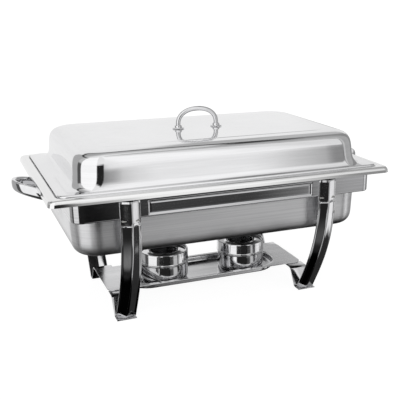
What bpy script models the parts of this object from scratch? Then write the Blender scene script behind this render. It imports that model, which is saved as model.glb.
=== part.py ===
"""Full-size chafing dish food warmer with hinged V-section legs.

Metres, +Z up.  X runs along the long side, the feet stand on z = 0 and the
origin is under the middle of the dish.  Sizes below are in millimetres and
are turned into metres by mm().
"""
import math

import bmesh
import bpy
from mathutils import Matrix, Vector

# ---------------------------------------------------------------- dimensions
GAP = 0.3                 # clearance between touching pieces
CORNER_STEPS = 6          # segments in each plan corner
ROUND_STEPS = 32          # segments in round pieces

RIM_HX, RIM_HY = 293.0, 178.0      # water pan lip, half length and half width
RIM_LOW, RIM_TOP = 227.0, 237.0    # lip lower edge and flange plane
LEDGE_Z = 231.0                    # ledge the food pan hangs on
PAN_FLOOR = 128.0                  # underside of the water pan

LID_TOP = 297.0
LID_FLANGE_Z = 240.0

BAND_HX, BAND_HY = 259.5, 170.0
BAND_LOW, BAND_TOP = 195.5, 229.3
PANEL_HALF = 143.0                 # pressed panel in the long sides
PANEL_LOW, PANEL_TOP = 198.6, 221.6
PANEL_DEPTH = 2.2

LEG_X = 171.5                      # leg centre line
RIDGE_Y = 177.0                    # front of the leg's ridge at the top
PIN_Y, PIN_Z = 173.1, 193.0        # leg pivot
PIN_R = 1.1
LEG_T = 1.5

SHELF_HX, SHELF_HY = 188.0, 57.0
SHELF_Z = 34.2
TRAY_HX, TRAY_HY, TRAY_DEPTH = 148.0, 50.0, 11.0
SHELF_DX = -1.0                    # the loose shelf stands a little off centre
BURNER_DX = 6.0                    # and so do the two burners in its tray

BURNER_X = 77.0
BURNER_R = 45.0
CUP_LOW, CUP_TOP = 23.5, 57.6
COVER_TOP = 78.5

HANDLE_Y = 46.0                    # end handle arm spacing, half
HANDLE_Z = 207.6
HANDLE_REACH = 321.5
HANDLE_RISE = 0.28                 # slope of the loop, up and away from the band
KNOB_HALF = 35.5                   # lid handle foot spacing, half
KNOB_TOP = 335.0

MATERIALS = {
    "polished_steel": ((0.62, 0.62, 0.63), 0.12),
    "brushed_steel": ((0.55, 0.55, 0.56), 0.32),
    "pan_steel": ((0.42, 0.42, 0.43), 0.38),
    "leg_steel": ((0.30, 0.30, 0.31), 0.15),
    "zinc_steel": ((0.48, 0.48, 0.47), 0.35),
}


# ------------------------------------------------------------------- helpers
def mm(*values):
    return Vector([v * 0.001 for v in values])


def clear_scene():
    for obj in list(bpy.data.objects):
        bpy.data.objects.remove(obj, do_unlink=True)
    for mesh in list(bpy.data.meshes):
        bpy.data.meshes.remove(mesh)


def material(name):
    mat = bpy.data.materials.get(name)
    if mat:
        return mat
    colour, rough = MATERIALS[name]
    mat = bpy.data.materials.new(name)
    mat.use_nodes = True
    shader = mat.node_tree.nodes["Principled BSDF"]
    shader.inputs["Base Color"].default_value = (*colour, 1.0)
    shader.inputs["Roughness"].default_value = rough
    shader.inputs["Metallic"].default_value = 1.0
    return mat


def finish(name, bm, mat, angle=35.0):
    """Turn a bmesh into a named object with faces out and smooth shading."""
    bmesh.ops.remove_doubles(bm, verts=bm.verts, dist=1e-7)
    bmesh.ops.recalc_face_normals(bm, faces=bm.faces)
    if bm.calc_volume(signed=True) < 0:
        bmesh.ops.reverse_faces(bm, faces=bm.faces)
    mesh = bpy.data.meshes.new(name)
    bm.to_mesh(mesh)
    bm.free()
    mesh.shade_smooth()
    mesh.set_sharp_from_angle(angle=math.radians(angle))
    mesh.materials.append(material(mat))
    obj = bpy.data.objects.new(name, mesh)
    bpy.context.scene.collection.objects.link(obj)
    return obj


def copy_of(name, source, location=(0, 0, 0), turn=0.0):
    obj = bpy.data.objects.new(name, source.data)
    bpy.context.scene.collection.objects.link(obj)
    obj.location = mm(*location)
    obj.rotation_euler = (0, 0, math.radians(turn))
    return obj


def cut(obj, cutter_bm):
    """Take the cutter's volume out of the object."""
    bmesh.ops.recalc_face_normals(cutter_bm, faces=cutter_bm.faces)
    mesh = bpy.data.meshes.new(obj.name + "_cutter")
    cutter_bm.to_mesh(mesh)
    cutter_bm.free()
    tool = bpy.data.objects.new(obj.name + "_cutter", mesh)
    bpy.context.scene.collection.objects.link(tool)
    tool.hide_render = True
    tool.display_type = 'WIRE'
    mod = obj.modifiers.new("cut", 'BOOLEAN')
    mod.operation = 'DIFFERENCE'
    mod.solver = 'EXACT'
    mod.object = tool
    depsgraph = bpy.context.evaluated_depsgraph_get()
    result = bpy.data.meshes.new_from_object(obj.evaluated_get(depsgraph))
    obj.modifiers.clear()
    old = obj.data
    obj.data = result
    result.name = obj.name
    bpy.data.meshes.remove(old)
    bpy.data.objects.remove(tool, do_unlink=True)
    obj.data.set_sharp_from_angle(angle=math.radians(35.0))


def add_cylinder(bm, radius, length, centre, axis='Z', steps=16):
    turn = {'Z': Matrix.Identity(4),
            'X': Matrix.Rotation(math.pi / 2, 4, 'Y'),
            'Y': Matrix.Rotation(math.pi / 2, 4, 'X')}[axis]
    place = Matrix.Translation(mm(*centre)) @ turn
    bmesh.ops.create_cone(bm, cap_ends=True, segments=steps, radius1=radius * 0.001,
                          radius2=radius * 0.001, depth=length * 0.001, matrix=place)


def ring_loop(bm, hx, hy, r, z, side_x=()):
    """Rounded rectangle of vertices, anticlockwise from the +X -Y corner."""
    r = max(0.4, min(r, hx, hy))
    points = []
    for index, (sx, sy) in enumerate(((1, -1), (1, 1), (-1, 1), (-1, -1))):
        start = -90.0 + 90.0 * index
        for step in range(CORNER_STEPS + 1):
            a = math.radians(start + 90.0 * step / CORNER_STEPS)
            points.append((sx * (hx - r) + r * math.cos(a),
                           sy * (hy - r) + r * math.sin(a)))
        if index == 1:
            points += [(x, hy) for x in sorted(side_x, reverse=True)]
        if index == 3:
            points += [(x, -hy) for x in sorted(side_x)]
    return [bm.verts.new(mm(x, y, z)) for x, y in points]


def circle_loop(bm, r, z, steps=ROUND_STEPS, centre=(0.0, 0.0)):
    verts = []
    for step in range(steps):
        a = 2 * math.pi * step / steps
        verts.append(bm.verts.new(mm(centre[0] + r * math.cos(a), centre[1] + r * math.sin(a), z)))
    return verts


def bridge(bm, first, second):
    count = len(first)
    for i in range(count):
        j = (i + 1) % count
        bm.faces.new((first[i], first[j], second[j], second[i]))


def skin(bm, loops, closed=False, caps=False):
    """Join a list of vertex loops; either a closed ring or capped at both ends."""
    for a, b in zip(loops, loops[1:]):
        bridge(bm, a, b)
    if closed:
        bridge(bm, loops[-1], loops[0])
    if caps:
        bm.faces.new(loops[0])
        bm.faces.new(loops[-1])


def offset_profile(profile, t):
    """Second face of a sheet: the profile moved t along its left-hand normal.

    Profile points are (hx, hy, r, z); the normal is taken in the (hx, z) plane.
    """
    result = []
    last = len(profile) - 1
    for i, (hx, hy, r, z) in enumerate(profile):
        normals = []
        for a, b in ((i - 1, i), (i, i + 1)):
            if a < 0 or b > last:
                continue
            dx = profile[b][1] - profile[a][1]
            dz = profile[b][3] - profile[a][3]
            size = math.hypot(dx, dz)
            normals.append((-dz / size, dx / size))
        nx = sum(n[0] for n in normals)
        nz = sum(n[1] for n in normals)
        size = math.hypot(nx, nz)
        nx, nz = nx / size, nz / size
        stretch = 1.0 / max(0.6, nx * normals[0][0] + nz * normals[0][1])
        ox, oz = nx * t * stretch, nz * t * stretch
        result.append((hx + ox, hy + ox, max(0.5, r + ox), z + oz))
    return result


def sheet(name, profile, t, mat, floor=True):
    """Pressed sheet-metal piece from a plan profile, closed by a flat middle."""
    bm = bmesh.new()
    first = [ring_loop(bm, *p) for p in profile]
    second = [ring_loop(bm, *p) for p in offset_profile(profile, t)]
    skin(bm, first)
    skin(bm, second)
    bridge(bm, first[-1], second[-1])
    if floor:
        bm.faces.new(first[0])
        bm.faces.new(second[0])
    else:
        bridge(bm, first[0], second[0])
    return finish(name, bm, mat)


def turned(name, profile, mat, centre=(0.0, 0.0), steps=ROUND_STEPS, closed=True, angle=35.0):
    """Solid of revolution; profile is a closed list of (radius, z)."""
    bm = bmesh.new()
    loops = [circle_loop(bm, r, z, steps, centre) for r, z in profile]
    skin(bm, loops, closed=closed, caps=not closed)
    return finish(name, bm, mat, angle)


def sweep(bm, path, section, up):
    """Sweep a closed section along a path; section points are (side, height)."""
    loops = []
    for i, here in enumerate(path):
        before = path[max(0, i - 1)]
        after = path[min(len(path) - 1, i + 1)]
        tangent = (after - before).normalized()
        side = tangent.cross(up).normalized()
        lift = side.cross(tangent)
        loops.append([bm.verts.new(here + side * (a * 0.001) + lift * (b * 0.001))
                      for a, b in section])
    skin(bm, loops, caps=True)


def arc(cx, cz, r, start, end, steps):
    """Points of an arc as (x, z), angles in degrees."""
    return [(cx + r * math.cos(math.radians(start + (end - start) * i / steps)),
             cz + r * math.sin(math.radians(start + (end - start) * i / steps)))
            for i in range(steps + 1)]


# --------------------------------------------------------------------- dishes
def water_pan():
    """Deep outer pan with a stepped rim and a turned-down lip."""
    inset = [(-24, PAN_FLOOR + 1.0), (-17.0, PAN_FLOOR + 1.9), (-9.5, PAN_FLOOR + 5.6),
             (-4.6, PAN_FLOOR + 11.6), (-2.6, PAN_FLOOR + 19.0), (-0.9, 190.0)]
    profile = [(254.6 + d, 150.0 + d, max(8.0, 44.0 + d), z) for d, z in inset]
    profile += [(254.6, 150.0, 44.0, LEDGE_Z - 2.6),
                (255.5, 150.9, 43.0, LEDGE_Z - 0.7),
                (257.4, 152.8, 38.0, LEDGE_Z),
                (276.4, 163.3, 16.5, LEDGE_Z),
                (277.3, 164.2, 16.0, LEDGE_Z + 0.9),
                (277.8, 164.7, 15.5, RIM_TOP - 1.0),
                (279.0, 165.9, 15.0, RIM_TOP),
                (RIM_HX - 4.0, RIM_HY - 4.0, 11.0, RIM_TOP),
                (RIM_HX - 1.2, RIM_HY - 1.2, 11.0, RIM_TOP - 1.2),
                (RIM_HX, RIM_HY, 11.0, RIM_TOP - 4.0),
                (RIM_HX, RIM_HY, 11.0, RIM_LOW)]
    return sheet("water_pan", profile, -1.0, "pan_steel")


def food_pan():
    """Shallow gastronorm pan hanging inside the water pan."""
    low = 170.5
    inset = [(-22, low + 0.8), (-15.5, low + 1.7), (-8.5, low + 5.2), (-4.0, low + 11.0),
             (-2.2, low + 18.0)]
    profile = [(247.0 + d, 147.0 + d, max(8.0, 42.0 + d), z) for d, z in inset]
    profile += [(247.0, 147.0, 42.0, 231.0),
                (248.3, 148.3, 41.0, 233.6),
                (250.8, 150.8, 38.0, 234.5),
                (273.2, 160.6, 17.0, 234.5),
                (275.0, 162.2, 16.0, 233.6),
                (275.4, 162.5, 16.0, LEDGE_Z + GAP)]
    return sheet("food_pan", profile, -0.8, "brushed_steel")


def lid():
    """Pressed cover: deep crowned walls, a flat flange and a short lip."""
    top = LID_TOP
    profile = [(197.0, 104.0, 17.0, top + 0.9),
               (199.5, 106.5, 19.0, top + 0.2),
               (201.5, 108.5, 21.0, top),
               (222.0, 131.0, 31.0, top - 0.4),
               (231.5, 140.5, 36.0, top - 2.6),
               (238.5, 147.0, 39.0, top - 7.4),
               (242.4, 150.8, 40.5, top - 14.5),
               (244.2, 152.8, 41.0, top - 24.0),
               (245.0, 154.2, 41.0, top - 35.0),
               (245.8, 155.2, 40.0, top - 45.0),
               (247.6, 156.4, 36.0, top - 51.5),
               (251.6, 158.2, 31.0, top - 55.6),
               (258.0, 159.6, 26.0, LID_FLANGE_Z + 0.4),
               (273.0, 161.4, 16.0, LID_FLANGE_Z),
               (275.2, 162.7, 15.0, LID_FLANGE_Z - 0.9),
               (276.1, 163.4, 14.5, LID_FLANGE_Z - 2.6),
               (276.1, 163.4, 14.5, 234.5 + GAP + 0.1)]
    shell = sheet("lid_shell", profile, -0.8, "polished_steel")
    holes = bmesh.new()
    for side in (-1, 1):
        add_cylinder(holes, 2.8, 8.0, (side * KNOB_HALF, 0.0, LID_TOP))
    cut(shell, holes)
    return shell


def lid_handle():
    """Arch of round rod with a reduced stud at each foot."""
    bm = bmesh.new()
    rise = KNOB_TOP - 4.0 - 306.0
    path = [(-KNOB_HALF, 300.4), (-KNOB_HALF, 303.0)]
    for step in range(19):
        a = math.pi - math.pi * step / 18
        c = math.copysign(abs(math.cos(a)) ** 0.92, math.cos(a))
        s = math.sin(a) ** 0.92
        path.append((KNOB_HALF * c, 306.0 + rise * s))
    path += [(KNOB_HALF, 303.0), (KNOB_HALF, 300.4)]
    steps = 12
    loops = []

    def ring(x, z, tangent, r):
        side = Vector((0.0, 1.0, 0.0))
        lift = tangent.cross(side)
        return [bm.verts.new(mm(x, 0, z) + (side * math.cos(2 * math.pi * k / steps)
                             + lift * math.sin(2 * math.pi * k / steps)) * r * 0.001)
                for k in range(steps)]

    up = Vector((0.0, 0.0, 1.0))
    loops.append(ring(-KNOB_HALF, 289.5, up, 2.5))
    loops.append(ring(-KNOB_HALF, 300.4, up, 2.5))
    for i, (x, z) in enumerate(path):
        if i == 0:
            tangent = up
        elif i == len(path) - 1:
            tangent = -up
        else:
            a, b = path[i - 1], path[i + 1]
            tangent = Vector((b[0] - a[0], 0.0, b[1] - a[1])).normalized()
        loops.append(ring(x, z, tangent, 4.0))
    loops.append(ring(KNOB_HALF, 300.4, -up, 2.5))
    loops.append(ring(KNOB_HALF, 289.5, -up, 2.5))
    skin(bm, loops, caps=True)
    return finish("lid_handle", bm, "polished_steel", 50.0)


def lid_handle_collar():
    """Turned collar with a thin disc, between the rod and the lid."""
    low = LID_TOP + 0.9 + GAP
    profile = [(10.5, low), (10.5, low + 0.6), (9.9, low + 1.1), (6.6, low + 1.5),
               (6.1, low + 4.6), (5.4, low + 5.2), (4.4, low + 5.2), (4.4, 300.1),
               (2.8, 300.1), (2.8, low)]
    left = turned("lid_handle_collar_left", profile, "polished_steel", steps=20)
    left.location = mm(-KNOB_HALF, 0, 0)
    copy_of("lid_handle_collar_right", left, (KNOB_HALF, 0, 0))


def lid_handle_nut():
    """Hexagon nut on each stud, inside the lid."""
    bm = bmesh.new()
    high = LID_TOP + 0.1 - GAP
    outer = [circle_loop(bm, 5.7, z, 6) for z in (high, high - 4.0)]
    inner = [circle_loop(bm, 2.85, z, 12) for z in (high, high - 4.0)]
    bridge(bm, outer[0], outer[1])
    bridge(bm, inner[0], inner[1])
    for level in (0, 1):
        for k in range(6):
            a, b = outer[level][k], outer[level][(k + 1) % 6]
            c, d, e = (inner[level][(2 * k + n) % 12] for n in (0, 1, 2))
            bm.faces.new((a, b, e, d, c))
    left = finish("lid_handle_nut_left", bm, "zinc_steel", 20.0)
    left.location = mm(-KNOB_HALF, 0, 0)
    copy_of("lid_handle_nut_right", left, (KNOB_HALF, 0, 0))


# ---------------------------------------------------------------------- frame
def frame_band():
    """Rectangular ring of folded strip with pressed panels in the long sides."""
    low, top = BAND_LOW, BAND_TOP
    edge = 2.6
    rows = [low, PANEL_LOW, PANEL_LOW + edge, PANEL_TOP - edge, PANEL_TOP, top]
    sunk = {PANEL_LOW + edge, PANEL_TOP - edge}
    xs = [-PANEL_HALF, -PANEL_HALF + edge, PANEL_HALF - edge, PANEL_HALF]
    bm = bmesh.new()

    def wall(inset, zs):
        loops = []
        for z, row in zs:
            loop = ring_loop(bm, BAND_HX - inset, BAND_HY - inset, 18.0 - inset, z, xs)
            if row in sunk:
                for v in loop:
                    inside = abs(v.co.x) <= (PANEL_HALF - edge + 0.01) * 0.001
                    if inside and abs(v.co.y) > (BAND_HY - 5.0) * 0.001:
                        v.co.y -= math.copysign(PANEL_DEPTH * 0.001, v.co.y)
            loops.append(loop)
        return loops

    t = 1.2
    outer = wall(0.0, [(z, z) for z in rows])
    inner = wall(t, [(min(max(z, low + t), top - t), z) for z in reversed(rows)])
    flange = [ring_loop(bm, 257.6, 158.0, 16.0, top, xs),
              ring_loop(bm, 257.6, 158.0, 16.0, top - t, xs)]
    hem = [ring_loop(bm, 256.8, 165.9, 15.3, low + t, xs),
           ring_loop(bm, 256.8, 165.9, 15.3, low, xs)]
    skin(bm, outer + flange + inner + hem, closed=True)
    band = finish("frame_band", bm, "brushed_steel")
    holes = bmesh.new()
    for sx in (-1, 1):
        for sy in (-1, 1):
            add_cylinder(holes, 2.8, 6.0, (sx * (BAND_HX - 0.6), sy * HANDLE_Y, HANDLE_Z), 'X', 12)
    cut(band, holes)
    return band


def vee(ridge, half, depth, lip, t):
    """Outer and inner edge of a V section: (x, depth) points from -x to +x."""
    run = half - ridge
    size = math.hypot(run, depth)
    nx, nd = -depth / size, run / size
    bx, bd = half + nx * t, depth + nd * t
    inner_ridge = bx - (bd - t) * run / depth
    inner_half = bx - (bd - depth - t) * run / depth
    outer = [(half + lip, depth), (half, depth), (ridge, 0.0)]
    inner = [(half + lip, depth + t), (inner_half, depth + t), (inner_ridge, t)]
    outer = [(-x, d) for x, d in outer] + list(reversed(outer))
    inner = [(-x, d) for x, d in inner] + list(reversed(inner))
    return outer + list(reversed(inner))


def bracket():
    """V-shaped pocket welded to the band; holds the leg's pivot."""
    bm = bmesh.new()
    section = vee(1.6, 13.0, 5.4, 2.9, 1.1)
    loops = []
    for z in (186.0, 224.0):
        loops.append([bm.verts.new(mm(x, -RIDGE_Y + d, z)) for x, d in section])
    skin(bm, loops, caps=True)
    obj = finish("leg_bracket_front_left", bm, "leg_steel", 20.0)
    hole = bmesh.new()
    add_cylinder(hole, PIN_R + 0.3, 60.0, (0, -PIN_Y, PIN_Z), 'X', 12)
    cut(obj, hole)
    return obj


def leg():
    """V-section leg, sabre curved towards the middle, with a narrow hinge neck."""
    ridge_line = [(-177.2, 184.2), (-176.0, 170.0), (-173.6, 152.0), (-169.8, 133.0),
                  (-164.4, 113.0), (-157.2, 93.0), (-148.4, 73.0), (-138.2, 53.0),
                  (-126.8, 33.0), (-115.8, 15.0), (-107.8, 1.9)]
    bm = bmesh.new()
    front = [(7.9, 5.2), (7.4, 4.8), (1.3, 1.75)]
    back = [(7.9, 6.6), (6.4, 6.6), (1.6, 6.6)]
    neck = [(-x, d) for x, d in front] + front[::-1] + back + [(-x, d) for x, d in back[::-1]]
    loops = []
    for z in (199.5, 186.4):
        loops.append([bm.verts.new(mm(x, -RIDGE_Y + d, z)) for x, d in neck])
    for i, (y, z) in enumerate(ridge_line):
        a = ridge_line[max(0, i - 1)]
        b = ridge_line[min(len(ridge_line) - 1, i + 1)]
        ty, tz = b[0] - a[0], b[1] - a[1]
        size = math.hypot(ty, tz)
        ty, tz = ty / size, tz / size
        half = 12.6 + 1.3 * i / (len(ridge_line) - 1)
        section = vee(1.6, half, 4.4, 3.4, LEG_T)
        loop = []
        for x, d in section:
            py, pz = y - tz * d, z + ty * d
            if i in (0, len(ridge_line) - 1):
                goal = 184.2 if i == 0 else 1.9
                py += ty * (goal - pz) / tz
                pz = goal
            loop.append(bm.verts.new(mm(x, py, pz)))
        loops.append(loop)
    skin(bm, loops, caps=True)
    obj = finish("leg_front_left", bm, "leg_steel", 30.0)
    hole = bmesh.new()
    add_cylinder(hole, PIN_R + 0.3, 60.0, (0, -PIN_Y, PIN_Z), 'X', 12)
    cut(obj, hole)
    return obj


def foot_strap():
    """Bent strip under the leg: sole, riser and the tab that carries the shelf."""
    t = 1.5
    line = [(-111.0, 0.0), (-93.4, 0.0), (-91.6, 0.5), (-90.4, 1.8), (-74.6, 28.8),
            (-73.4, 30.4), (-71.4, 31.15), (-51.8, 31.15)]
    bm = bmesh.new()
    under = []
    for i, (y, z) in enumerate(line):
        a = line[max(0, i - 1)]
        b = line[min(len(line) - 1, i + 1)]
        ty, tz = b[0] - a[0], b[1] - a[1]
        size = math.hypot(ty, tz)
        under.append((y - tz / size * t, z + ty / size * t))
    outline = line + list(reversed(under))
    loops = []
    for x in (-17.0, 17.0):
        loops.append([bm.verts.new(mm(x, y, z)) for y, z in outline])
    skin(bm, loops, caps=True)
    return finish("foot_strap_front_left", bm, "leg_steel", 40.0)


def pivot_pin():
    """Headed pin through a bracket and a leg's neck."""
    bm = bmesh.new()
    loops = []
    for x, r in ((-14.3, 0.6), (-14.0, 1.0), (-13.0, 1.2), (-12.6, PIN_R),
                 (12.6, PIN_R), (13.0, 1.2), (14.0, 1.0), (14.3, 0.6)):
        loop = circle_loop(bm, r, x, 12)
        for v in loop:
            y, z = v.co.x, v.co.y
            v.co = mm(x, -PIN_Y, PIN_Z) + Vector((0, y, z))
        loops.append(loop)
    skin(bm, loops, caps=True)
    return finish("leg_pivot_pin_front_left", bm, "zinc_steel")


def end_handle(name, side):
    """Bowed carrying loop of flattened tube on one end of the band."""
    start = BAND_HX + GAP + 0.1
    half = []
    for step in range(9):
        a = math.radians(90.0 * step / 8)
        half.append((start + (HANDLE_REACH - start) * math.sin(a), HANDLE_Y * math.cos(a)))
    plan = half[:-1] + [(HANDLE_REACH, 0.0)]
    plan += [(x, -y) for x, y in reversed(plan[:-1])]
    path = [mm(side * x, y, HANDLE_Z) for x, y in plan]
    section = []
    for k in range(12):
        a = 2 * math.pi * k / 12 + math.pi / 12
        section.append((4.4 * math.copysign(abs(math.cos(a)) ** 0.75, math.cos(a)),
                        9.4 * math.copysign(abs(math.sin(a)) ** 0.75, math.sin(a))))
    bm = bmesh.new()
    sweep(bm, path, section, Vector((0, 0, 1)))
    for v in bm.verts:
        if abs(abs(v.co.x) - start * 0.001) < 0.0025:
            v.co.x = side * start * 0.001
        v.co.z += HANDLE_RISE * max(0.0, abs(v.co.x) - start * 0.001)
    obj = finish(name, bm, "polished_steel", 50.0)
    holes = bmesh.new()
    for sy in (-1, 1):
        add_cylinder(holes, 2.55, 24.0, (side * start, sy * HANDLE_Y, HANDLE_Z), 'X', 12)
    cut(obj, holes)
    return obj


def handle_screw():
    """Pan-head screw through a band end into a handle arm."""
    bm = bmesh.new()
    inside = BAND_HX - 1.2 - GAP
    loops = []
    for x, r in ((inside - 2.4, 2.6), (inside - 1.6, 4.2), (inside, 4.6),
                 (inside, 2.25), (BAND_HX + 10.5, 2.25)):
        loop = circle_loop(bm, r, 0.0, 12)
        for v in loop:
            y, z = v.co.x, v.co.y
            v.co = mm(x, 0, HANDLE_Z) + Vector((0, y, z))
        loops.append(loop)
    skin(bm, loops, caps=True)
    screw = finish("handle_screw_right_back", bm, "zinc_steel")
    screw.location = mm(0, HANDLE_Y, 0)
    copy_of("handle_screw_right_front", screw, (0, -HANDLE_Y, 0))
    copy_of("handle_screw_left_back", screw, (0, HANDLE_Y, 0), 180)
    copy_of("handle_screw_left_front", screw, (0, -HANDLE_Y, 0), 180)


# ---------------------------------------------------------------- burner shelf
def shelf():
    """Flat plate with a shallow oblong tray pressed into the middle."""
    z = SHELF_Z
    low = z - TRAY_DEPTH
    profile = [(TRAY_HX - 5.4, TRAY_HY - 5.4, TRAY_HY - 9.4, low),
               (TRAY_HX - 3.8, TRAY_HY - 3.8, TRAY_HY - 7.8, low + 0.8),
               (TRAY_HX - 1.8, TRAY_HY - 1.8, TRAY_HY - 5.8, z - 0.8),
               (TRAY_HX, TRAY_HY, TRAY_HY - 4.0, z),
               (SHELF_HX, SHELF_HY, 13.0, z)]
    plate = sheet("shelf_plate", profile, -1.2, "brushed_steel")
    plate.location = mm(SHELF_DX, 0, 0)
    return plate


def fuel_cup(name, x):
    """Deep-drawn cup with a rounded foot and a beaded top edge."""
    r = BURNER_R
    t = 0.8
    outer = [(0.01, CUP_LOW), (r - 10.0, CUP_LOW)]
    outer += [(cx, cz) for cx, cz in arc(r - 8.0 - 0.6, CUP_LOW + 8.0, 8.0, -70, 0, 4)]
    outer += [(r - 0.6, CUP_TOP - 2.4), (r + 0.3, CUP_TOP - 1.4), (r + 0.3, CUP_TOP - 0.3),
              (r - 0.4, CUP_TOP)]
    inner = [(r - 1.6, CUP_TOP), (r - 1.6, CUP_TOP - 3.0)]
    inner += [(cx, cz) for cx, cz in arc(r - 8.0 - 0.6, CUP_LOW + 8.0, 8.0 - t, 0, -70, 4)]
    inner += [(r - 10.0, CUP_LOW + t), (0.01, CUP_LOW + t)]
    bm = bmesh.new()
    loops = [circle_loop(bm, a, z, ROUND_STEPS, (x, 0.0)) for a, z in outer[1:] + inner[:-1]]
    skin(bm, loops, caps=True)
    return finish(name, bm, "polished_steel")


def fuel_cover(name, x):
    """Banded cover ring: skirt inside the cup, dished top and a raised neck."""
    r = BURNER_R
    top = COVER_TOP
    seat = CUP_TOP + GAP
    profile = [(r - 2.2, 51.0), (r - 2.2, seat), (r + 0.3, seat), (r + 0.5, seat + 0.9),
               (r, seat + 1.8), (r, top - 1.0), (r - 0.8, top), (r - 2.0, top),
               (r - 2.6, top - 0.8), (r - 3.2, top - 5.0), (31.0, top - 5.6),
               (26.5, top - 5.0), (25.4, top - 2.6), (24.6, top - 2.6), (24.6, top - 5.8),
               (30.8, top - 6.4), (r - 3.2, top - 5.8), (r - 3.2, seat + 2.0),
               (r - 3.0, seat + 0.4), (r - 3.0, 51.0)]
    return turned(name, profile, "polished_steel", (x, 0.0))


# ----------------------------------------------------------------- build it all
def place_corners(source, nodes):
    """Stand four copies of a front-left piece at the four legs."""
    corners = {"front_left": (-LEG_X, 0), "front_right": (LEG_X, 0),
               "back_left": (-LEG_X, 180), "back_right": (LEG_X, 180)}
    made = {}
    for corner, (x, turn) in corners.items():
        name = nodes + "_" + corner
        if corner == "front_left":
            source.location = mm(x, 0, 0)
            made[corner] = source
        else:
            made[corner] = copy_of(name, source, (x, 0, 0), turn)
    return made


def build():
    clear_scene()
    water_pan()
    food_pan()
    lid()
    lid_handle()
    lid_handle_collar()
    lid_handle_nut()
    frame_band()
    place_corners(bracket(), "leg_bracket")
    place_corners(leg(), "leg")
    place_corners(foot_strap(), "foot_strap")
    place_corners(pivot_pin(), "leg_pivot_pin")
    end_handle("end_handle_left", -1)
    end_handle("end_handle_right", 1)
    handle_screw()
    shelf()
    fuel_cup("fuel_cup_left", BURNER_DX - BURNER_X)
    fuel_cup("fuel_cup_right", BURNER_DX + BURNER_X)
    fuel_cover("fuel_cover_left", BURNER_DX - BURNER_X)
    fuel_cover("fuel_cover_right", BURNER_DX + BURNER_X)


build()
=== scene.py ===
"""Chafing dish food warmer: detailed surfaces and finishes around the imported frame.

Millimetres are used for sizes below and turned into metres by mm().
"""

import math

import bmesh
import bpy
from mathutils import Matrix, Vector


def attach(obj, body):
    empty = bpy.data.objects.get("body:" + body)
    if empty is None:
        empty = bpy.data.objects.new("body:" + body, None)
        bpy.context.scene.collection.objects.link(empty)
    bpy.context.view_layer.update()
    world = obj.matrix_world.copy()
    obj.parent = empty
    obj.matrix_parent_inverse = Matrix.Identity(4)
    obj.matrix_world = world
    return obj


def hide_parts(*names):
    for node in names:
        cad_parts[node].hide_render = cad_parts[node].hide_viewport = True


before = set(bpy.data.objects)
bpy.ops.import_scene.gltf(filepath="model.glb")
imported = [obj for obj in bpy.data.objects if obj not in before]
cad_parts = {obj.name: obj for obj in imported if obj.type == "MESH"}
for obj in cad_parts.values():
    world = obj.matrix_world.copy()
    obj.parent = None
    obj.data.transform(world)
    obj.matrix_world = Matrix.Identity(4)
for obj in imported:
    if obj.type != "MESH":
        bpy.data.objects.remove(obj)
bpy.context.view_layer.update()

# Sizes in millimetres. X is along the dish, the front faces -Y and the floor is at Z = 0.
LID_TOP, PAN_FLOOR = 297.0, 128.0
BAND_X, BAND_Y, BAND_CORNER = 259.5, 170.0, 18.0      # half length, half width, corner radius
BAND_LOW, BAND_HIGH = 195.5, 229.3
PANEL_X, PANEL_LOW, PANEL_HIGH = 143.0, 198.4, 221.8  # pressed panel: half length and edges
LEG_X, RIDGE_Y = 171.5, 177.0
PIN_Y, PIN_Z, PIN_R = 173.1, 193.0, 1.1
STRAP_HALF = 17.0
SHELF_TOP, TRAY_FLOOR = 34.2, 23.2
SHELF_DX, BURNER_DX, BURNER_X = -1.0, 6.0, 77.0       # both are loose and a little off centre
HANDLE_Y, HANDLE_Z, HANDLE_RISE = 46.0, 207.6, 0.28   # feet of a loop, rise per length outwards
HANDLE_FOOT, HANDLE_REACH = 259.9, 321.4              # ends of a loop's centre line along X
KNOB_HALF = 35.5
SEAM_AT = -52.0           # where the cover band's seam stands, degrees from +X
TO_DEGREES = 57.29578


# ------------------------------------------------------------------- helpers
def mm(*values):
    return Vector([v * 0.001 for v in values])


def step(x, low, high):
    t = min(1.0, max(0.0, (x - low) / (high - low)))
    return t * t * (3.0 - 2.0 * t)


def soften(points, reach=99.0, steps=4, closed=False):
    """Round every corner of a control polygon with a small parabola."""
    count = len(points)
    points = [Vector(p) for p in points]
    out = []
    for i, p in enumerate(points):
        if not closed and i in (0, count - 1):
            out.append(p)
            continue
        a, b = points[i - 1], points[(i + 1) % count]
        before, after = (a - p).length, (b - p).length
        cut = min(before * 0.5, after * 0.5, reach)
        start = p + (a - p) * (cut / before)
        end = p + (b - p) * (cut / after)
        for k in range(steps + 1):
            t = k / steps
            q = start * (1 - t) ** 2 + p * (2 * t * (1 - t)) + end * t * t
            if not out or (q - out[-1]).length > 1e-4:
                out.append(q)
    return out


def densify(points, longest):
    out = [points[0]]
    for a, b in zip(points, points[1:]):
        n = max(1, math.ceil((b - a).length / longest))
        out += [a.lerp(b, k / n) for k in range(1, n + 1)]
    return out


def curve(points, per=6):
    """Catmull-Rom curve through points."""
    points = [Vector(p) for p in points]
    out = []
    for i in range(len(points) - 1):
        p0, p1 = points[max(0, i - 1)], points[i]
        p2, p3 = points[i + 1], points[min(len(points) - 1, i + 2)]
        for k in range(per):
            t = k / per
            out.append(0.5 * ((2 * p1) + (p2 - p0) * t + (2 * p0 - 5 * p1 + 4 * p2 - p3) * t * t
                              + (3 * p1 - p0 - 3 * p2 + p3) * t ** 3))
    return out + [points[-1]]


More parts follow.
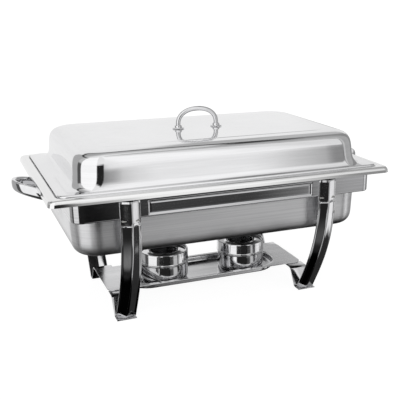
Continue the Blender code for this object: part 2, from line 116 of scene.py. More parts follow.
def thicken(points, t, y=1, z=3):
    """Closed section of a sheet: the line, a round edge, the line moved t to its left."""
    last = len(points) - 1
    moved, normals = [], []
    for i, p in enumerate(points):
        a, b = points[max(0, i - 1)], points[min(last, i + 1)]
        dy, dz = b[y] - a[y], b[z] - a[z]
        size = math.hypot(dy, dz)
        normals.append((-dz / size, dy / size))
    for p, (ny, nz) in zip(points, normals):
        q = p.copy()
        for k in range(len(q) - 1):
            q[k] += ny * t if (len(q) == 4 or k == y) else 0.0
        q[z] += nz * t
        moved.append(q)
    ends = []
    for i in (last, 0):
        p, q = points[i], moved[i]
        ny, nz = normals[i]
        sign = 1.0 if i == last else -1.0
        ty, tz = nz * sign, -ny * sign
        half = abs(t) * 0.5
        cap = []
        for deg in (-50, 0, 50):
            c, s = math.cos(math.radians(deg)), math.sin(math.radians(deg))
            m = (p + q) * 0.5 + (q - p) * 0.5 * s
            for k in range(len(m) - 1):
                m[k] += ty * half * (c - 0.55) if (len(m) == 4 or k == y) else 0.0
            m[z] += tz * half * (c - 0.55)
            cap.append(m)
        ends.append(cap)
    return points, ends[0], moved, ends[1]


def ring(hx, hy, r, z, corner=16, xs=None, ys=None):
    """Rounded rectangle, anticlockwise from the +X -Y corner."""
    r = max(0.4, min(r, hx, hy))
    xs = xs or [-0.86 + 1.72 * k / 20 for k in range(21)]
    ys = ys or [-0.8 + 1.6 * k / 12 for k in range(13)]
    points = []
    for index, (sx, sy) in enumerate(((1, -1), (1, 1), (-1, 1), (-1, -1))):
        for k in range(corner + 1):
            a = math.radians(-90.0 + 90.0 * index + 90.0 * k / corner)
            points.append((sx * (hx - r) + r * math.cos(a), sy * (hy - r) + r * math.sin(a)))
        flip = 1 if index in (0, 3) else -1
        if index in (0, 2):
            points += [(sx * hx, flip * y * (hy - r)) for y in ys]
        else:
            points += [(flip * x * (hx - r), sy * hy) for x in xs]
    return [mm(x, y, z) for x, y in points]


def circle(r, z, steps=96):
    out = []
    for k in range(steps):
        a = 2 * math.pi * k / steps
        out.append(mm(r * math.cos(a), r * math.sin(a), z))
    return out


def build(name, loops, finish, closed=False, angle=32.0, bevel=0.0, caps=True):
    """Closed body from loops of points."""
    bm = bmesh.new()
    rows = [[bm.verts.new(p) for p in loop] for loop in loops]
    pairs = list(zip(rows, rows[1:]))
    if closed:
        pairs.append((rows[-1], rows[0]))
    for a, b in pairs:
        for i in range(len(a)):
            j = (i + 1) % len(a)
            bm.faces.new((a[i], a[j], b[j], b[i]))
    if not closed and caps:
        bm.faces.new(rows[0])
        bm.faces.new(rows[-1])
    return wrap(name, bm, finish, angle, bevel)


def wrap(name, bm, finish, angle=32.0, bevel=0.0):
    bmesh.ops.remove_doubles(bm, verts=bm.verts, dist=2e-7)
    bmesh.ops.recalc_face_normals(bm, faces=bm.faces)
    if bm.calc_volume(signed=True) < 0:
        bmesh.ops.reverse_faces(bm, faces=bm.faces)
    mesh = bpy.data.meshes.new(name)
    bm.to_mesh(mesh)
    bm.free()
    obj = bpy.data.objects.new(name, mesh)
    bpy.context.scene.collection.objects.link(obj)
    mesh.materials.append(finish)
    if bevel:
        mod = obj.modifiers.new("edge", 'BEVEL')
        mod.width = bevel * 0.001
        mod.segments = 2
        mod.limit_method = 'ANGLE'
        mod.angle_limit = math.radians(55.0)
        apply(obj)
    obj.data.shade_smooth()
    obj.data.set_sharp_from_angle(angle=math.radians(angle))
    return obj


def apply(obj):
    graph = bpy.context.evaluated_depsgraph_get()
    result = bpy.data.meshes.new_from_object(obj.evaluated_get(graph))
    obj.modifiers.clear()
    old = obj.data
    name = old.name
    obj.data = result
    bpy.data.meshes.remove(old)
    result.name = name


def drill(obj, radius, length, centres, axis='Z', angle=32.0, steps=24):
    """Bore round holes through the piece."""
    turn = {'Z': Matrix.Identity(4), 'X': Matrix.Rotation(math.pi / 2, 4, 'Y')}[axis]
    bm = bmesh.new()
    for c in centres:
        bmesh.ops.create_cone(bm, cap_ends=True, segments=steps, radius1=radius * 0.001,
                              radius2=radius * 0.001, depth=length * 0.001,
                              matrix=Matrix.Translation(mm(*c)) @ turn)
    mesh = bpy.data.meshes.new("bit")
    bm.to_mesh(mesh)
    bm.free()
    bit = bpy.data.objects.new("bit", mesh)
    bpy.context.scene.collection.objects.link(bit)
    mod = obj.modifiers.new("bore", 'BOOLEAN')
    mod.operation = 'DIFFERENCE'
    mod.solver = 'EXACT'
    mod.object = bit
    apply(obj)
    bpy.data.objects.remove(bit, do_unlink=True)
    bpy.data.meshes.remove(mesh)
    obj.data.set_sharp_from_angle(angle=math.radians(angle))


def show(obj, node, body):
    obj.name = "v_" + node
    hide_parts(node)
    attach(obj, body)
    return obj


def twin(obj, location, turn=0.0):
    other = bpy.data.objects.new(obj.name, obj.data)
    bpy.context.scene.collection.objects.link(other)
    other.location = mm(*location)
    other.rotation_euler = (0, 0, math.radians(turn))
    return other


# ------------------------------------------------------------------ materials
class Tree:
    """Short way to write shader nodes."""

    def __init__(self, tree):
        self.tree = tree
        tree.nodes.clear()

    def add(self, kind, inputs=None, **settings):
        node = self.tree.nodes.new(kind)
        for key, value in settings.items():
            setattr(node, key, value)
        for key, value in (inputs or {}).items():
            if isinstance(value, bpy.types.NodeSocket):
                self.tree.links.new(value, node.inputs[key])
            else:
                node.inputs[key].default_value = value
        return node

    def sum(self, op, a, b=0.0, clamp=False):
        return self.add('ShaderNodeMath', {0: a, 1: b}, operation=op, use_clamp=clamp).outputs[0]

    def ramp(self, x, low, high, start=0.0, end=1.0):
        return self.add('ShaderNodeMapRange', {0: x, 1: low, 2: high, 3: start, 4: end},
                        interpolation_type='SMOOTHSTEP').outputs[0]

    def noise(self, where, scale, detail=4.0, stretch=(1, 1, 1), turn=(0, 0, 0), rough=0.55):
        place = self.add('ShaderNodeMapping', {0: where, 2: turn, 3: stretch})
        return self.add('ShaderNodeTexNoise', {'Vector': place.outputs[0], 'Scale': scale,
                                               'Detail': detail, 'Roughness': rough}).outputs[0]


def metal(name, dark, light, rough, grain, spread, aniso, bump, smudge, radial=True, edge=0.0,
          bright=None, bottom_painted_shade=None):
    """Stainless steel: grain along the rolling direction, faint smears and hair scratches; where asked, a
    painted shade towards the bottom and a painted highlight on sharp edges.
    """
    mat = bpy.data.materials.new(name)
    mat.use_nodes = True
    t = Tree(mat.node_tree)
    where = t.add('ShaderNodeTexCoord').outputs['Object']
    fine = t.noise(where, 1.0, 5.0, grain, rough=0.62)
    wide = t.noise(where, 1.0, 3.0, tuple(g * 0.16 for g in grain), (0.02, 0.01, 0))
    smear = t.noise(where, 9.0, 4.0, (1, 1.3, 1.6), (0.3, 0.5, 0.9))
    hair = t.noise(where, 1.0, 2.0, (38, 900, 420), (0.5, 0.2, 0.55))
    hair = t.ramp(hair, 0.66, 0.74)
    mix = t.sum('ADD', t.sum('MULTIPLY', fine, 0.6), t.sum('MULTIPLY', wide, 0.4))
    tone = t.ramp(mix, 0.5 - 0.22, 0.5 + 0.22)
    tone = t.sum('ADD', tone, t.sum('MULTIPLY', hair, 0.18), True)
    # Lighter along sharp edges, found by pointiness: a painted edge highlight.
    if edge:
        point = t.add('ShaderNodeNewGeometry').outputs['Pointiness']
        tone = t.sum('ADD', tone, t.ramp(point, 0.52, 0.60, 0.0, edge), True)
    colour = t.add('ShaderNodeMixRGB', {0: tone, 1: (*dark, 1), 2: (*light, 1)}).outputs[0]
    worn = t.sum('MULTIPLY', t.sum('SUBTRACT', mix, 0.5), spread)
    oily = t.sum('MULTIPLY', t.ramp(smear, 0.42, 0.68), smudge)
    wear = t.sum('ADD', t.sum('ADD', worn, oily), t.sum('MULTIPLY', hair, 0.05))
    roughness = t.sum('MAXIMUM', t.sum('ADD', wear, rough), 0.02)
    # Darker towards the bottom of the piece: painted shade, multiplied into the base colour.
    if bottom_painted_shade:
        low, high, least = bottom_painted_shade
        level = t.add('ShaderNodeSeparateXYZ', {0: where}).outputs[2]
        level = t.sum('ADD', level, t.sum('MULTIPLY', t.sum('SUBTRACT', smear, 0.5), 0.02))
        painted_darkening = t.ramp(level, low, high, least, 1.0)
        colour = t.add('ShaderNodeMixRGB', {0: 1.0, 1: colour, 2: painted_darkening},
                       blend_type='MULTIPLY').outputs[0]
    if bright:
        high = t.add('ShaderNodeSeparateXYZ', {0: where}).outputs[2]
        high = t.ramp(high, bright - 0.001, bright + 0.001)
        pale = t.sum('ADD', t.sum('MULTIPLY', tone, 0.08), 0.80)
        colour = t.add('ShaderNodeMixRGB', {0: high, 1: colour, 2: pale}).outputs[0]
        sleek = t.sum('ADD', t.sum('MULTIPLY', wear, 0.4), 0.07)
        low = t.sum('MULTIPLY', roughness, t.sum('SUBTRACT', 1.0, high))
        roughness = t.sum('ADD', low, t.sum('MULTIPLY', sleek, high))
        bump = t.sum('SUBTRACT', bump, t.sum('MULTIPLY', high, bump * 0.9))
    normal = t.add('ShaderNodeBump', {'Height': mix, 'Strength': bump, 'Distance': 0.0004})
    inputs = {'Base Color': colour, 'Metallic': 1.0, 'Roughness': roughness,
              'Normal': normal.outputs[0], 'Anisotropic': aniso, 'Anisotropic Rotation': 0.25}
    if aniso:
        if radial:
            way = t.add('ShaderNodeTangent', direction_type='RADIAL', axis='Z').outputs[0]
        else:
            way = t.add('ShaderNodeCombineXYZ', {0: 1.0, 1: 0.02, 2: 0.0}).outputs[0]
        inputs['Tangent'] = way
    shader = t.add('ShaderNodeBsdfPrincipled', inputs)
    t.add('ShaderNodeOutputMaterial', {0: shader.outputs[0]})
    return mat


LID = metal("lid_polish", (0.76, 0.76, 0.77), (0.84, 0.84, 0.85), 0.055, (9, 9, 260), 0.05,
            0.0, 0.012, 0.05)
ROD = metal("bright_rod", (0.66, 0.66, 0.67), (0.80, 0.80, 0.81), 0.04, (60, 60, 60), 0.04,
            0.0, 0.01, 0.04)
CUP = metal("burner_polish", (0.66, 0.66, 0.67), (0.78, 0.78, 0.79), 0.07, (14, 14, 420), 0.08,
            0.3, 0.03, 0.06)
# The deep pan takes a painted shade that darkens its base colour towards its bottom.
PAN = metal("deep_pan_brush", (0.76, 0.76, 0.77), (0.94, 0.94, 0.95), 0.34, (5, 5, 520), 0.26,
            0.75, 0.12, 0.07, bright=0.2265, bottom_painted_shade=(0.126, 0.160, 0.10))
BAND = metal("band_brush", (0.46, 0.46, 0.47), (0.66, 0.66, 0.67), 0.065, (5, 5, 600), 0.10,
             0.3, 0.04, 0.04)
TRAY = metal("shelf_brush", (0.58, 0.58, 0.59), (0.72, 0.72, 0.73), 0.17, (6, 520, 120), 0.14,
             0.5, 0.05, 0.06, radial=False)
INNER = metal("food_pan_satin", (0.62, 0.62, 0.63), (0.78, 0.78, 0.79), 0.16, (7, 7, 480), 0.12,
              0.4, 0.05, 0.06)
LEG = metal("leg_mirror", (0.56, 0.56, 0.57), (0.76, 0.76, 0.77), 0.06, (120, 120, 24), 0.06,
            0.0, 0.02, 0.06)
# The fasteners take the painted edge highlight on their sharp edges.
ZINC = metal("zinc_fastener", (0.42, 0.42, 0.40), (0.58, 0.58, 0.56), 0.30, (260, 260, 260), 0.2,
             0.0, 0.15, 0.08, edge=0.3)


# --------------------------------------------------------------------- dishes
def pressed(name, profile, t, finish, floor=True, reach=99.0, passes=1, longest=9.0):
    """Pressed sheet piece from plan outlines (half length, half width, corner, height)."""
    line = [Vector(p) for p in profile]
    for _ in range(passes):
        line = soften(line, reach, 3)
    line = densify(line, longest)
    outer, edge, inner, start = thicken(line, t)
    if floor:
        section = outer + edge + inner[::-1]
    else:
        section = outer + edge + inner[::-1] + start[::-1]
    return build(name, [ring(*p) for p in section], finish, closed=not floor)


def water_pan():
    low = PAN_FLOOR
    inset = [(-24, low + 1.0), (-17.0, low + 1.9), (-9.5, low + 5.6),
             (-4.6, low + 11.6), (-2.6, low + 19.0), (-0.9, 190.0)]
    profile = [(254.6 + d, 150.0 + d, max(8.0, 44.0 + d), z) for d, z in inset]
    profile += [(254.6, 150.0, 44.0, 228.4), (255.5, 150.9, 43.0, 230.3),
                (257.4, 152.8, 38.0, 231.0), (276.4, 163.3, 16.5, 231.0),
                (277.3, 164.2, 16.0, 231.9), (277.8, 164.7, 15.5, 236.0),
                (279.0, 165.9, 15.0, 237.0), (287.4, 172.4, 11.0, 237.0),
                (290.6, 175.6, 11.0, 235.6), (292.5, 177.5, 11.0, 232.0),
                (293.0, 178.0, 11.0, 227.0)]
    obj = pressed("water_pan", profile, -1.0, PAN)
    show(obj, "water_pan", "water_pan")


def food_pan():
    inset = [(-22, 171.3), (-15.5, 172.2), (-8.5, 175.7), (-4.0, 181.5), (-2.2, 188.5)]
    profile = [(247.0 + d, 147.0 + d, max(8.0, 42.0 + d), z) for d, z in inset]
    profile += [(247.0, 147.0, 42.0, 231.0), (248.3, 148.3, 41.0, 233.6),
                (250.8, 150.8, 38.0, 234.5), (273.2, 160.6, 17.0, 234.5),
                (275.0, 162.2, 16.0, 233.6), (275.4, 162.5, 16.0, 231.5)]
    obj = pressed("food_pan", profile, -0.8, INNER)
    show(obj, "food_pan", "food_pan")


def lid():
    top = LID_TOP
    profile = [(194.0, 101.0, 17.0, top + 0.4), (198.5, 105.5, 19.0, top + 0.4),
               (202.5, 109.5, 21.0, top), (206.0, 113.0, 24.0, top),
               (222.0, 131.0, 31.0, top - 0.4), (231.5, 140.5, 36.0, top - 2.6),
               (238.5, 147.0, 39.0, top - 7.4), (242.4, 150.8, 40.5, top - 14.5),
               (244.2, 152.8, 41.0, top - 24.0), (245.0, 154.2, 41.0, top - 35.0),
               (245.8, 155.2, 40.0, top - 45.0), (247.6, 156.4, 36.0, top - 51.5),
               (251.6, 158.2, 31.0, top - 55.6), (258.0, 159.6, 26.0, 240.4),
               (273.0, 161.4, 16.0, 240.0), (275.2, 162.7, 15.0, 239.1),
               (276.1, 163.4, 14.5, 237.4), (276.1, 163.4, 14.5, 235.0)]
    obj = pressed("lid_shell", profile, -0.8, LID, passes=2, longest=6.0)
    drill(obj, 2.8, 8.0, [(-KNOB_HALF, 0, 297.5), (KNOB_HALF, 0, 297.5)])
    show(obj, "lid_shell", "lid")


def lid_handle():
    rise = 25.0
    path = [(-KNOB_HALF, 289.5, 2.2), (-KNOB_HALF, 290.0, 2.5), (-KNOB_HALF, 300.2, 2.5),
            (-KNOB_HALF, 300.4, 3.6), (-KNOB_HALF, 300.8, 4.0), (-KNOB_HALF, 303.0, 4.0)]
    mirror = [(-x, z, r) for x, z, r in reversed(path)]
    for k in range(73):
        a = math.pi - math.pi * k / 72
        c = math.copysign(abs(math.cos(a)) ** 0.92, math.cos(a))
        path.append((KNOB_HALF * c, 306.0 + rise * math.sin(a) ** 0.92, 4.0))
    path += mirror
    loops = []
    for i, (x, z, r) in enumerate(path):
        a, b = path[max(0, i - 1)], path[min(len(path) - 1, i + 1)]
        way = Vector((b[0] - a[0], 0.0, b[1] - a[1])).normalized()
        lift = way.cross(Vector((0, 1, 0)))
        loops.append([mm(x, 0, z) + (Vector((0, 1, 0)) * math.cos(2 * math.pi * k / 32)
                      + lift * math.sin(2 * math.pi * k / 32)) * r * 0.001 for k in range(32)])
    show(build("rod", loops, ROD, angle=50.0), "lid_handle", "lid")


def lathe(name, profile, finish, reach=0.4, steps=96, closed=True, seam=None, longest=9.0):
    """Turned piece from (radius, height) points."""
    line = soften(profile, reach, 3, closed)
    if not closed:
        line = densify(line, longest)
    loops = []
    for r, z in line:
        loop = circle(r, z, steps)
        if seam:
            for v in loop:
                a = math.degrees(math.atan2(v.y, v.x)) - SEAM_AT
                v.xy = v.xy * (1.0 + seam(r, z, a) / r)
        loops.append(loop)
    return build(name, loops, finish, closed=closed, angle=40.0)


def collars():
    low = 298.2
    profile = [(10.5, low), (10.5, low + 0.7), (9.7, low + 1.1), (6.9, low + 1.4),
               (6.3, low + 2.2), (6.1, low + 4.5), (5.5, low + 5.2), (4.4, low + 5.2),
               (4.4, 300.1), (2.8, 300.1), (2.8, low)]
    left = lathe("collar", profile, ROD, 0.35, 48)
    left.location = mm(-KNOB_HALF, 0, 0)
    right = twin(left, (KNOB_HALF, 0, 0))
    show(left, "lid_handle_collar_left", "lid")
    show(right, "lid_handle_collar_right", "lid")


def nuts():
    """Hexagon nuts with chamfered corners."""
    loops = []
    for z, r, trim in ((292.8, 5.7, 5.05), (293.3, 5.7, 5.75), (296.3, 5.7, 5.75), (296.8, 5.7, 5.05)):
        loop = []
        for k in range(48):
            a = 2 * math.pi * k / 48
            b = (a + math.pi / 6) % (math.pi / 3) - math.pi / 6
            flat = r * math.cos(math.pi / 6) / math.cos(b)
            loop.append((min(flat, trim), a, z))
        loops.append([mm(q * math.cos(a), q * math.sin(a), z) for q, a, z in loop])
    inner = [circle(r, z, 48) for r, z in ((3.2, 296.8), (2.85, 296.4), (2.85, 293.2), (3.2, 292.8))]
    left = build("nut", loops + inner, ZINC, closed=True, angle=25.0)
    left.location = mm(-KNOB_HALF, 0, 0)
    right = twin(left, (KNOB_HALF, 0, 0))
    show(left, "lid_handle_nut_left", "lid")
    show(right, "lid_handle_nut_right", "lid")


# ---------------------------------------------------------------------- frame
def frame_band():
    """Folded strip with a long pressed panel and a bead round it in each long side."""
    corner = [Vector(p) for p in ((256.8, 165.9, 15.3, BAND_LOW),
                                  (BAND_X, BAND_Y, BAND_CORNER, BAND_LOW),
                                  (BAND_X, BAND_Y, BAND_CORNER, BAND_HIGH),
                                  (257.6, 158.0, 16.0, BAND_HIGH))]
    line = densify(soften(corner, 2.4, 5), 1.0)
    outer, edge, inner, start = thicken(line, 1.2)
    fold_low, fold_high = 196.7, 228.1      # inner faces of the two folds
    wall = 258.9                            # middle of an end wall
    span = BAND_X - BAND_CORNER
    xs = [-0.96 + 1.92 * k / 32 for k in range(33)]
    xs = [x for x in xs if abs(abs(x * span) - 138.0) > 8.0]
    xs += [s * (131.0 + 0.9 * k) / span for s in (-1, 1) for k in range(16)]
    xs = sorted(xs)
    loops = []
    for p in outer + edge + inner[::-1] + start[::-1]:
        loop = ring(*p, corner=18, xs=xs)
        for v in loop:
            x, y = abs(v.x) * 1000, abs(v.y) * 1000
            if y > 164.0 and x < PANEL_X + 1.0:
                z = min(max(v.z * 1000, fold_low), fold_high)
                rim = min(PANEL_X - x, z - PANEL_LOW, PANEL_HIGH - z)
                sink = 1.5 * step(rim, 0.0, 2.4)
                sink += 0.2 * step(rim, 1.6, 3.0) * (1.0 - step(rim, 3.4, 5.2))
                v.y -= math.copysign(sink * 0.001, v.y)
        loops.append(loop)
    obj = build("band", loops, BAND, closed=True)
    drill(obj, 2.8, 6.0, [(sx * wall, sy * HANDLE_Y, HANDLE_Z) for sx in (-1, 1)
                          for sy in (-1, 1)], 'X')
    show(obj, "frame_band", "frame")


def vee(ridge, half, depth, lip, t, fine=5):
    """V section with a rounded ridge and side lips, as one closed outline of (x, depth)."""
    line = [(-half - lip, depth), (-half, depth), (-ridge, 0.0), (ridge, 0.0), (half, depth),
            (half + lip, depth)]
    line = densify(soften(line, 1.5, fine), 3.0)
    outer, edge, inner, start = flat_sheet(line, t)
    return outer + edge + inner[::-1] + start[::-1]


def flat_sheet(line, t):
    """Sheet outline in a plane; the second face lies on the +depth side."""
    last = len(line) - 1
    inner, normals = [], []
    for i, p in enumerate(line):
        a, b = line[max(0, i - 1)], line[min(last, i + 1)]
        way = (b - a).normalized()
        normals.append(Vector((-way.y, way.x)))
        inner.append(p + normals[-1] * t)
    caps = []
    for i, sign in ((last, 1.0), (0, -1.0)):
        way = Vector((normals[i].y, -normals[i].x)) * sign
        middle = (line[i] + inner[i]) * 0.5
        caps.append([middle + way * (t * 0.5 * (math.cos(a) - 0.5)) + normals[i] * (t * 0.5 * math.sin(a))
                     for a in (-0.8, 0.0, 0.8)])
    return line, caps[0], inner, caps[1]


def along(path, sections, level=None):
    """Carry sections (x, depth) along a (y, z) path; depth goes to the path's back."""
    loops = []
    last = len(path) - 1
    for i, p in enumerate(path):
        a, b = path[max(0, i - 1)], path[min(last, i + 1)]
        ty, tz = (b - a).normalized()
        loop = []
        for x, d in sections[i]:
            y, z = p.x - tz * d, p.y + ty * d
            if level and i in level:
                y += ty * (level[i] - z) / tz
                z = level[i]
            loop.append(mm(x, y, z))
        loops.append(loop)
    return loops


CORNERS = {"front_left": (-LEG_X, 0), "front_right": (LEG_X, 0),
           "back_left": (-LEG_X, 180), "back_right": (LEG_X, 180)}


def four(source, node):
    """One piece at each leg, turned half round at the back."""
    for corner, (x, turn) in CORNERS.items():
        show(twin(source, (x, 0, 0), turn), node + "_" + corner, "frame")
    bpy.data.objects.remove(source, do_unlink=True)


def brackets():
    section = vee(1.6, 13.0, 5.4, 2.9, 1.1)
    path = [Vector((-RIDGE_Y, z)) for z in (224.0, 220.0, 212.0, 204.0, 196.0, 190.0, 186.0)]
    obj = build("bracket", along(path, [section] * len(path)), LEG, bevel=0.3)
    drill(obj, PIN_R + 0.3, 60.0, [(0, -PIN_Y, PIN_Z)], 'X')
    four(obj, "leg_bracket")


def legs():
    points = [(-177.2, 184.2), (-176.0, 170.0), (-173.6, 152.0), (-169.8, 133.0),
              (-164.4, 113.0), (-157.2, 93.0), (-148.4, 73.0), (-138.2, 53.0),
              (-126.8, 33.0), (-115.8, 15.0), (-107.8, 1.9)]
    path = curve(points, 6)
    count = len(path)
    sections = [vee(1.6, 12.6 + 1.3 * i / (count - 1), 4.4, 3.4, 1.5) for i in range(count)]
    neck = [(x * 0.485, 1.8 + d * 0.78) for x, d in sections[0]]
    tongue = [Vector((-RIDGE_Y, z)) for z in (199.5, 194.0, 187.0)]
    loops = along(tongue, [neck] * 3)
    loops += along(path, sections, {0: 184.2, count - 1: 1.9})
    obj = build("leg", loops, LEG, bevel=0.35, angle=38.0)
    drill(obj, PIN_R + 0.3, 60.0, [(0, -PIN_Y, PIN_Z)], 'X')
    four(obj, "leg")


def straps():
    t = 1.5
    line = [Vector(p) for p in ((-111.0, 0.0), (-91.6, 0.0), (-73.4, 31.15), (-51.8, 31.15))]
    path = densify(soften(line, 4.0, 6), 6.0)
    r = 0.45
    section = []
    for sx, sd, a0 in ((1, 0, -90), (1, 1, 0), (-1, 1, 90), (-1, 0, 180)):
        for k in range(4):
            a = math.radians(a0 + 30 * k)
            section.append((sx * (STRAP_HALF - r) + r * math.cos(a),
                            (t - r if sd else r) + r * math.sin(a)))
    obj = build("strap", along(path, [section] * len(path)), LEG, bevel=0.3)
    four(obj, "foot_strap")


def turned_x(name, profile, finish, steps=32):
    """Closed turned piece about an axis along X, from (x, radius) points."""
    line = soften(profile, 0.3, 3)
    loops = [[mm(x, r * math.cos(2 * math.pi * k / steps), r * math.sin(2 * math.pi * k / steps))
              for k in range(steps)] for x, r in line]
    return build(name, loops, finish, angle=40.0)


def pins():
    half = [(12.6, PIN_R), (13.0, 1.2), (13.7, 1.2), (14.2, 0.8), (14.3, 0.3)]
    profile = [(-x, r) for x, r in reversed(half)] + half
    obj = turned_x("pin", profile, ZINC)
    for v in obj.data.vertices:
        v.co += mm(0, -PIN_Y, PIN_Z)
    four(obj, "leg_pivot_pin")


def end_handles():
    start = HANDLE_FOOT
    half = []
    for k in range(33):
        a = math.radians(90.0 * k / 32)
        half.append((start + (HANDLE_REACH - start) * math.sin(a), HANDLE_Y * math.cos(a)))
    plan = half[:-1] + [(HANDLE_REACH, 0.0)]
    plan += [(x, -y) for x, y in reversed(plan[:-1])]
    for side, name in ((-1, "end_handle_left"), (1, "end_handle_right")):
        path = [mm(side * x, y, HANDLE_Z) for x, y in plan]
        loops = []
        for i, here in enumerate(path):
            way = (path[min(len(path) - 1, i + 1)] - path[max(0, i - 1)]).normalized()
            if i in (0, len(path) - 1):
                way = Vector((side * (1 if i == 0 else -1), 0, 0))
            out = way.cross(Vector((0, 0, 1)))
            loop = []
            for k in range(40):
                a = 2 * math.pi * k / 40
                u = 4.3 * math.copysign(abs(math.cos(a)) ** 0.8, math.cos(a))
                w = 9.3 * math.copysign(abs(math.sin(a)) ** 0.8, math.sin(a))
                spot = here + out * (u * 0.001) + Vector((0, 0, w * 0.001))
                spot.z += HANDLE_RISE * max(0.0, abs(spot.x) - start * 0.001)
                loop.append(spot)
            loops.append(loop)
        obj = build(name, loops, ROD, angle=50.0, bevel=0.3)
        drill(obj, 2.55, 24.0, [(side * start, sy * HANDLE_Y, HANDLE_Z) for sy in (-1, 1)], 'X', 50.0)
        show(obj, name, "frame")


def screws():
    """Pan-head screws with a cross recess, seen from inside the band."""
    inside = 258.0
    profile = [(inside - 2.4, 0.6), (inside - 2.4, 2.6), (inside - 1.6, 4.2), (inside, 4.6),
               (inside, 2.25), (269.2, 2.25), (270.0, 1.6)]
    obj = turned_x("screw", profile, ZINC)
    for v in obj.data.vertices:
        v.co += mm(0, 0, HANDLE_Z)
    bm = bmesh.new()
    for size in ((2.4, 4.0, 0.9), (2.4, 0.9, 4.0)):
        place = Matrix.Translation(mm(inside - 2.3, 0, HANDLE_Z)) @ Matrix.Diagonal((*mm(*size), 1))
        bmesh.ops.create_cube(bm, size=1.0, matrix=place)
    mesh = bpy.data.meshes.new("recess")
    bm.to_mesh(mesh)
    bm.free()
    bit = bpy.data.objects.new("recess", mesh)
    bpy.context.scene.collection.objects.link(bit)
    mod = obj.modifiers.new("recess", 'BOOLEAN')
    mod.operation = 'DIFFERENCE'
    mod.solver = 'EXACT'
    mod.use_self = True
    mod.object = bit
    apply(obj)
    bpy.data.objects.remove(bit, do_unlink=True)
    obj.data.set_sharp_from_angle(angle=math.radians(35.0))
    for side, turn in (("right", 0), ("left", 180)):
        for end, y in (("back", HANDLE_Y), ("front", -HANDLE_Y)):
            show(twin(obj, (0, y, 0), turn), f"handle_screw_{side}_{end}", "frame")
    bpy.data.objects.remove(obj, do_unlink=True)


# --------------------------------------------------------------- burner shelf
def shelf():
    z, low = SHELF_TOP, TRAY_FLOOR
    profile = [(142.6, 44.6, 40.6, low), (144.6, 46.6, 42.6, low + 0.3),
               (145.4, 47.4, 43.4, low + 2.0), (146.6, 48.6, 44.6, z - 2.0),
               (147.4, 49.4, 45.4, z - 0.3), (150.0, 51.6, 45.8, z), (188.0, 57.0, 13.0, z)]
    obj = pressed("shelf", profile, -1.2, TRAY, longest=5.0)
    obj.location = mm(SHELF_DX, 0, 0)
    show(obj, "shelf_plate", "shelf")


def burners():
    cup = [(1.5, 23.5), (36.0, 23.5), (41.2, 24.4), (43.7, 27.4), (44.4, 32.0), (44.4, 55.0),
           (45.2, 55.9), (45.4, 56.7), (45.0, 57.5), (44.3, 57.6), (43.5, 57.2), (43.6, 54.0),
           (43.6, 32.0), (42.9, 28.2), (40.7, 25.3), (36.0, 24.3), (1.5, 24.3)]
    top, seat = 78.5, 57.9
    cover = [(42.8, 51.0), (42.8, seat), (45.2, seat), (45.5, seat + 0.6), (45.4, seat + 1.3),
             (45.0, seat + 2.0), (45.0, top - 1.4), (44.7, top - 0.3), (44.0, top),
             (42.9, top - 0.2), (42.3, top - 1.2), (41.8, top - 5.0), (40.6, top - 5.6),
             (31.0, top - 5.6), (26.5, top - 5.0), (25.5, top - 3.0), (25.2, top - 2.5),
             (24.8, top - 2.5), (24.6, top - 3.0), (24.6, top - 5.8), (30.8, top - 6.4),
             (41.6, top - 6.2), (41.8, seat + 2.0), (42.0, seat + 0.4), (42.0, 51.0)]

    def seam(r, z, a):
        if r < 44.6 or not seat + 2.2 < z < top - 1.0:
            return 0.0
        return 0.45 * step(4.6 - abs(a), 0.0, 1.2) - 0.3 * step(1.4 - abs(a), 0.0, 0.9)

    for side, name in ((-1, "left"), (1, "right")):
        x = BURNER_DX + side * BURNER_X
        low = lathe("cup", cup, CUP, 3.0, 128, closed=False, longest=6.0)
        low.location = mm(x, 0, 0)
        show(low, "fuel_cup_" + name, "burner_" + name)
        high = lathe("cover", cover, CUP, 1.2, 288, seam=seam)
        high.location = mm(x, 0, 0)
        show(high, "fuel_cover_" + name, "burner_cover_" + name)


# --------------------------------------------------------------- studio setting
# Soft boxes and dark gaps round the table: heading from the front in degrees, turning to
# the right, then a base level and steps (start height, end height, added light).
SECTOR_BLEND = 2.5        # half width of the change from one sector to the next, degrees
CAP_WAY = (-0.06, 0.26, 0.96)
SECTORS = [
    (-180, -158, 0.25, [(-40, -28, 0.68)]),
    (-158, -112, 0.46, []),
    (-112, -92, 0.10, [(13, 24, 0.50)]),
    (-92, -40, 0.04, [(-34, -26, 1.12)]),
    (-40, -20, 0.02, [(-58, -51, 0.20), (-48, -30, -0.20), (-13, -9, 1.15)]),
    (-20, 8, 0.02, [(-58, -51, 0.08), (-48, -30, -0.08), (13, 24, 0.92)]),
    (8, 13, 0.01, [(-40, -34, 0.25), (-30, -24, -0.25), (-14, -7, 0.40), (0, 9, 0.56)]),
    (13, 26, 0.07, [(-40, -34, 0.55), (-30, -24, -0.55), (-14, -8, 0.90), (5, 12, 0.13)]),
    (26, 30, 0.22, [(-14, -8, 0.40), (5, 12, 0.40)]),
    (30, 50, 0.60, [(-14, -8, -0.30), (6, 14, 0.54)]),
    (50, 55.5, 0.04, [(-8, 6, 0.30)]),
    (55.5, 65, 0.04, [(-19.5, -17, 0.90), (-9, -4, -0.30)]),
    (65, 84, 0.04, [(-38, -34, 1.00), (-10, -5, -0.60)]),
    (84, 110, 0.03, [(-32, -24, 0.32), (-10, -5, 0.10)]),
    (110, 134, 0.03, [(-34, -24, 0.27)]),
    (134, 151, 0.03, [(-34, -24, 0.27), (-4, 4, 0.56), (15, 19, -0.30)]),
    (151, 161, 0.25, [(-40, -28, 0.68), (15, 19, -0.45)]),
    (161, 180, 0.25, [(-40, -28, 0.68)]),
]


